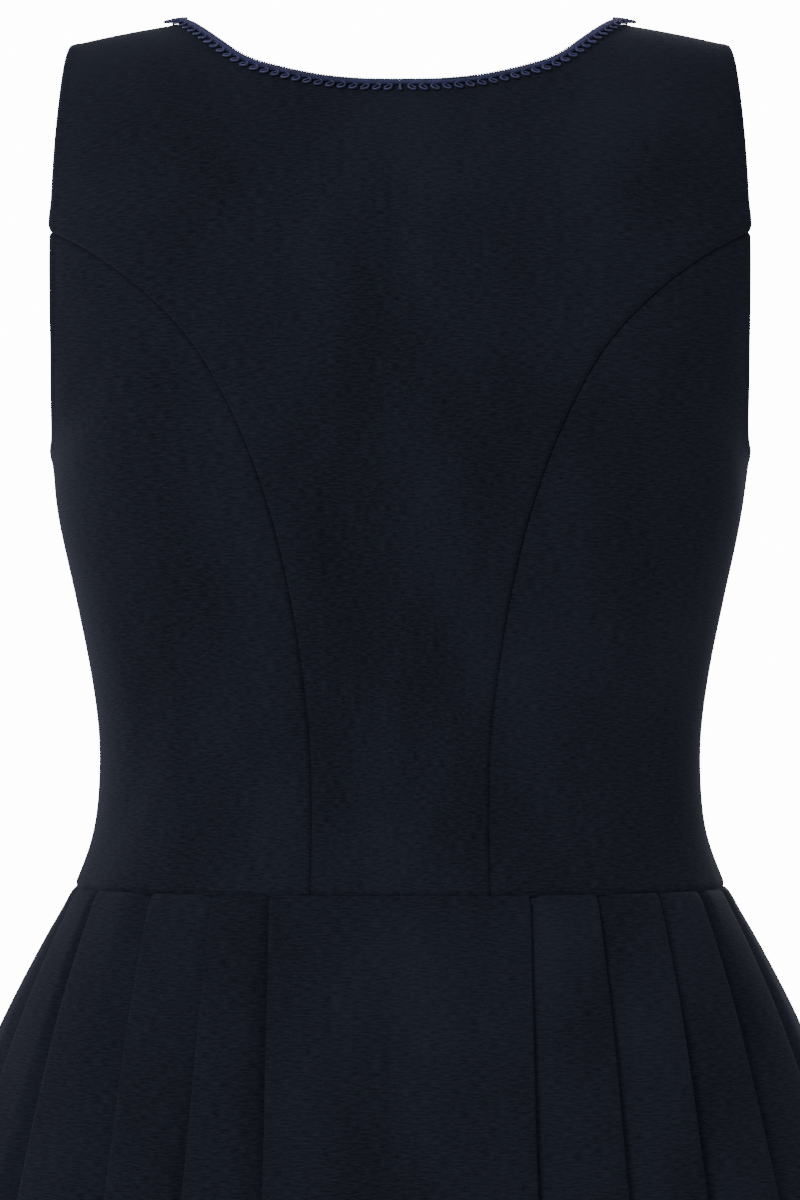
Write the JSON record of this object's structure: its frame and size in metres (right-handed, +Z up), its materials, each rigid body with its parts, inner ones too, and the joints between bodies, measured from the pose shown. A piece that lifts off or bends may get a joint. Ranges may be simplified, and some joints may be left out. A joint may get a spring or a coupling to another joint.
{
  "type": "dirndl dress",
  "caption": "Sleeveless dirndl worn and filled out: fitted panelled bodice, braid-trimmed neck and a knife-pleated skirt sewn on at the waist.",
  "frame": {"origin": "midway between the two shoulder straps, at the height of the middle of each strap, where the wearer's shoulders carry the dress", "axes": "+Z up the body, -Y towards the back of the dress, +Y towards its front, +X towards the wearer's right"},
  "size_m": [0.736, 0.5687, 1.0985],
  "materials": {
    "navy_cloth": "matt near-black navy crepe with fine cross slubs and a soft sheen",
    "gimp_braid": "corded navy gimp braid with a soft rayon shine",
    "hook_metal": "black lacquered wire"
  },
  "bodies": {
    "root": {"back_centre": "navy_cloth", "back_side_left": "navy_cloth", "back_side_right": "navy_cloth", "front_side_left": "navy_cloth", "front_side_right": "navy_cloth", "front_centre_left": "navy_cloth", "front_centre_right": "navy_cloth", "skirt_back": "navy_cloth", "skirt_side_left": "navy_cloth", "skirt_side_right": "navy_cloth", "skirt_front_left": "navy_cloth", "skirt_front_right": "navy_cloth", "neck_trim_left": "gimp_braid", "neck_trim_right": "gimp_braid", "hook_1": "hook_metal", "eye_1": "hook_metal", "hook_2": "hook_metal", "eye_2": "hook_metal", "hook_3": "hook_metal", "eye_3": "hook_metal", "hook_4": "hook_metal", "eye_4": "hook_metal", "hook_5": "hook_metal", "eye_5": "hook_metal", "hook_6": "hook_metal", "eye_6": "hook_metal", "hook_7": "hook_metal", "eye_7": "hook_metal", "hook_8": "hook_metal", "eye_8": "hook_metal"}
  },
  "joints": []
}
